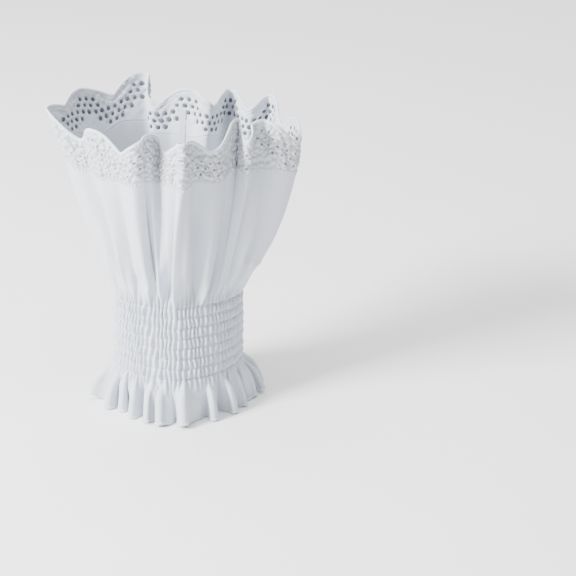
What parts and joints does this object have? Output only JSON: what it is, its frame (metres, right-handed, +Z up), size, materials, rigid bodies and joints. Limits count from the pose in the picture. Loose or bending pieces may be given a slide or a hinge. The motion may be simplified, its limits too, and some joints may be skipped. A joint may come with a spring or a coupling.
{
  "type": "lace cuff",
  "caption": "White cotton false cuff: a gathered wrist frill, an elastic smocked band and a flared sleeve with a scalloped eyelet lace rim.",
  "frame": {"origin": "middle of the footprint, on the surface that the frill's hem rests on", "axes": "+Z up along the wrist from the frill to the lace rim, +X to the right as seen from the front, +Y to the back where the side seam runs"},
  "size_m": [0.1198, 0.0992, 0.1537],
  "materials": {
    "wrist_frill": "soft white cotton lawn, gathered, with a rolled overlocked hem",
    "smocked_band": "white cotton puckered between rows of elastic",
    "flared_sleeve": "smooth white cotton lawn in soft folds",
    "lace_edging": "white embroidered eyelet lace with a satin stitched edge",
    "side_seam": "white overlocked cotton seam allowance"
  },
  "bodies": {
    "root": {"wrist_frill": "wrist_frill", "smocked_band": "smocked_band", "flared_sleeve": "flared_sleeve", "lace_edging": "lace_edging", "side_seam": "side_seam"}
  },
  "joints": []
}
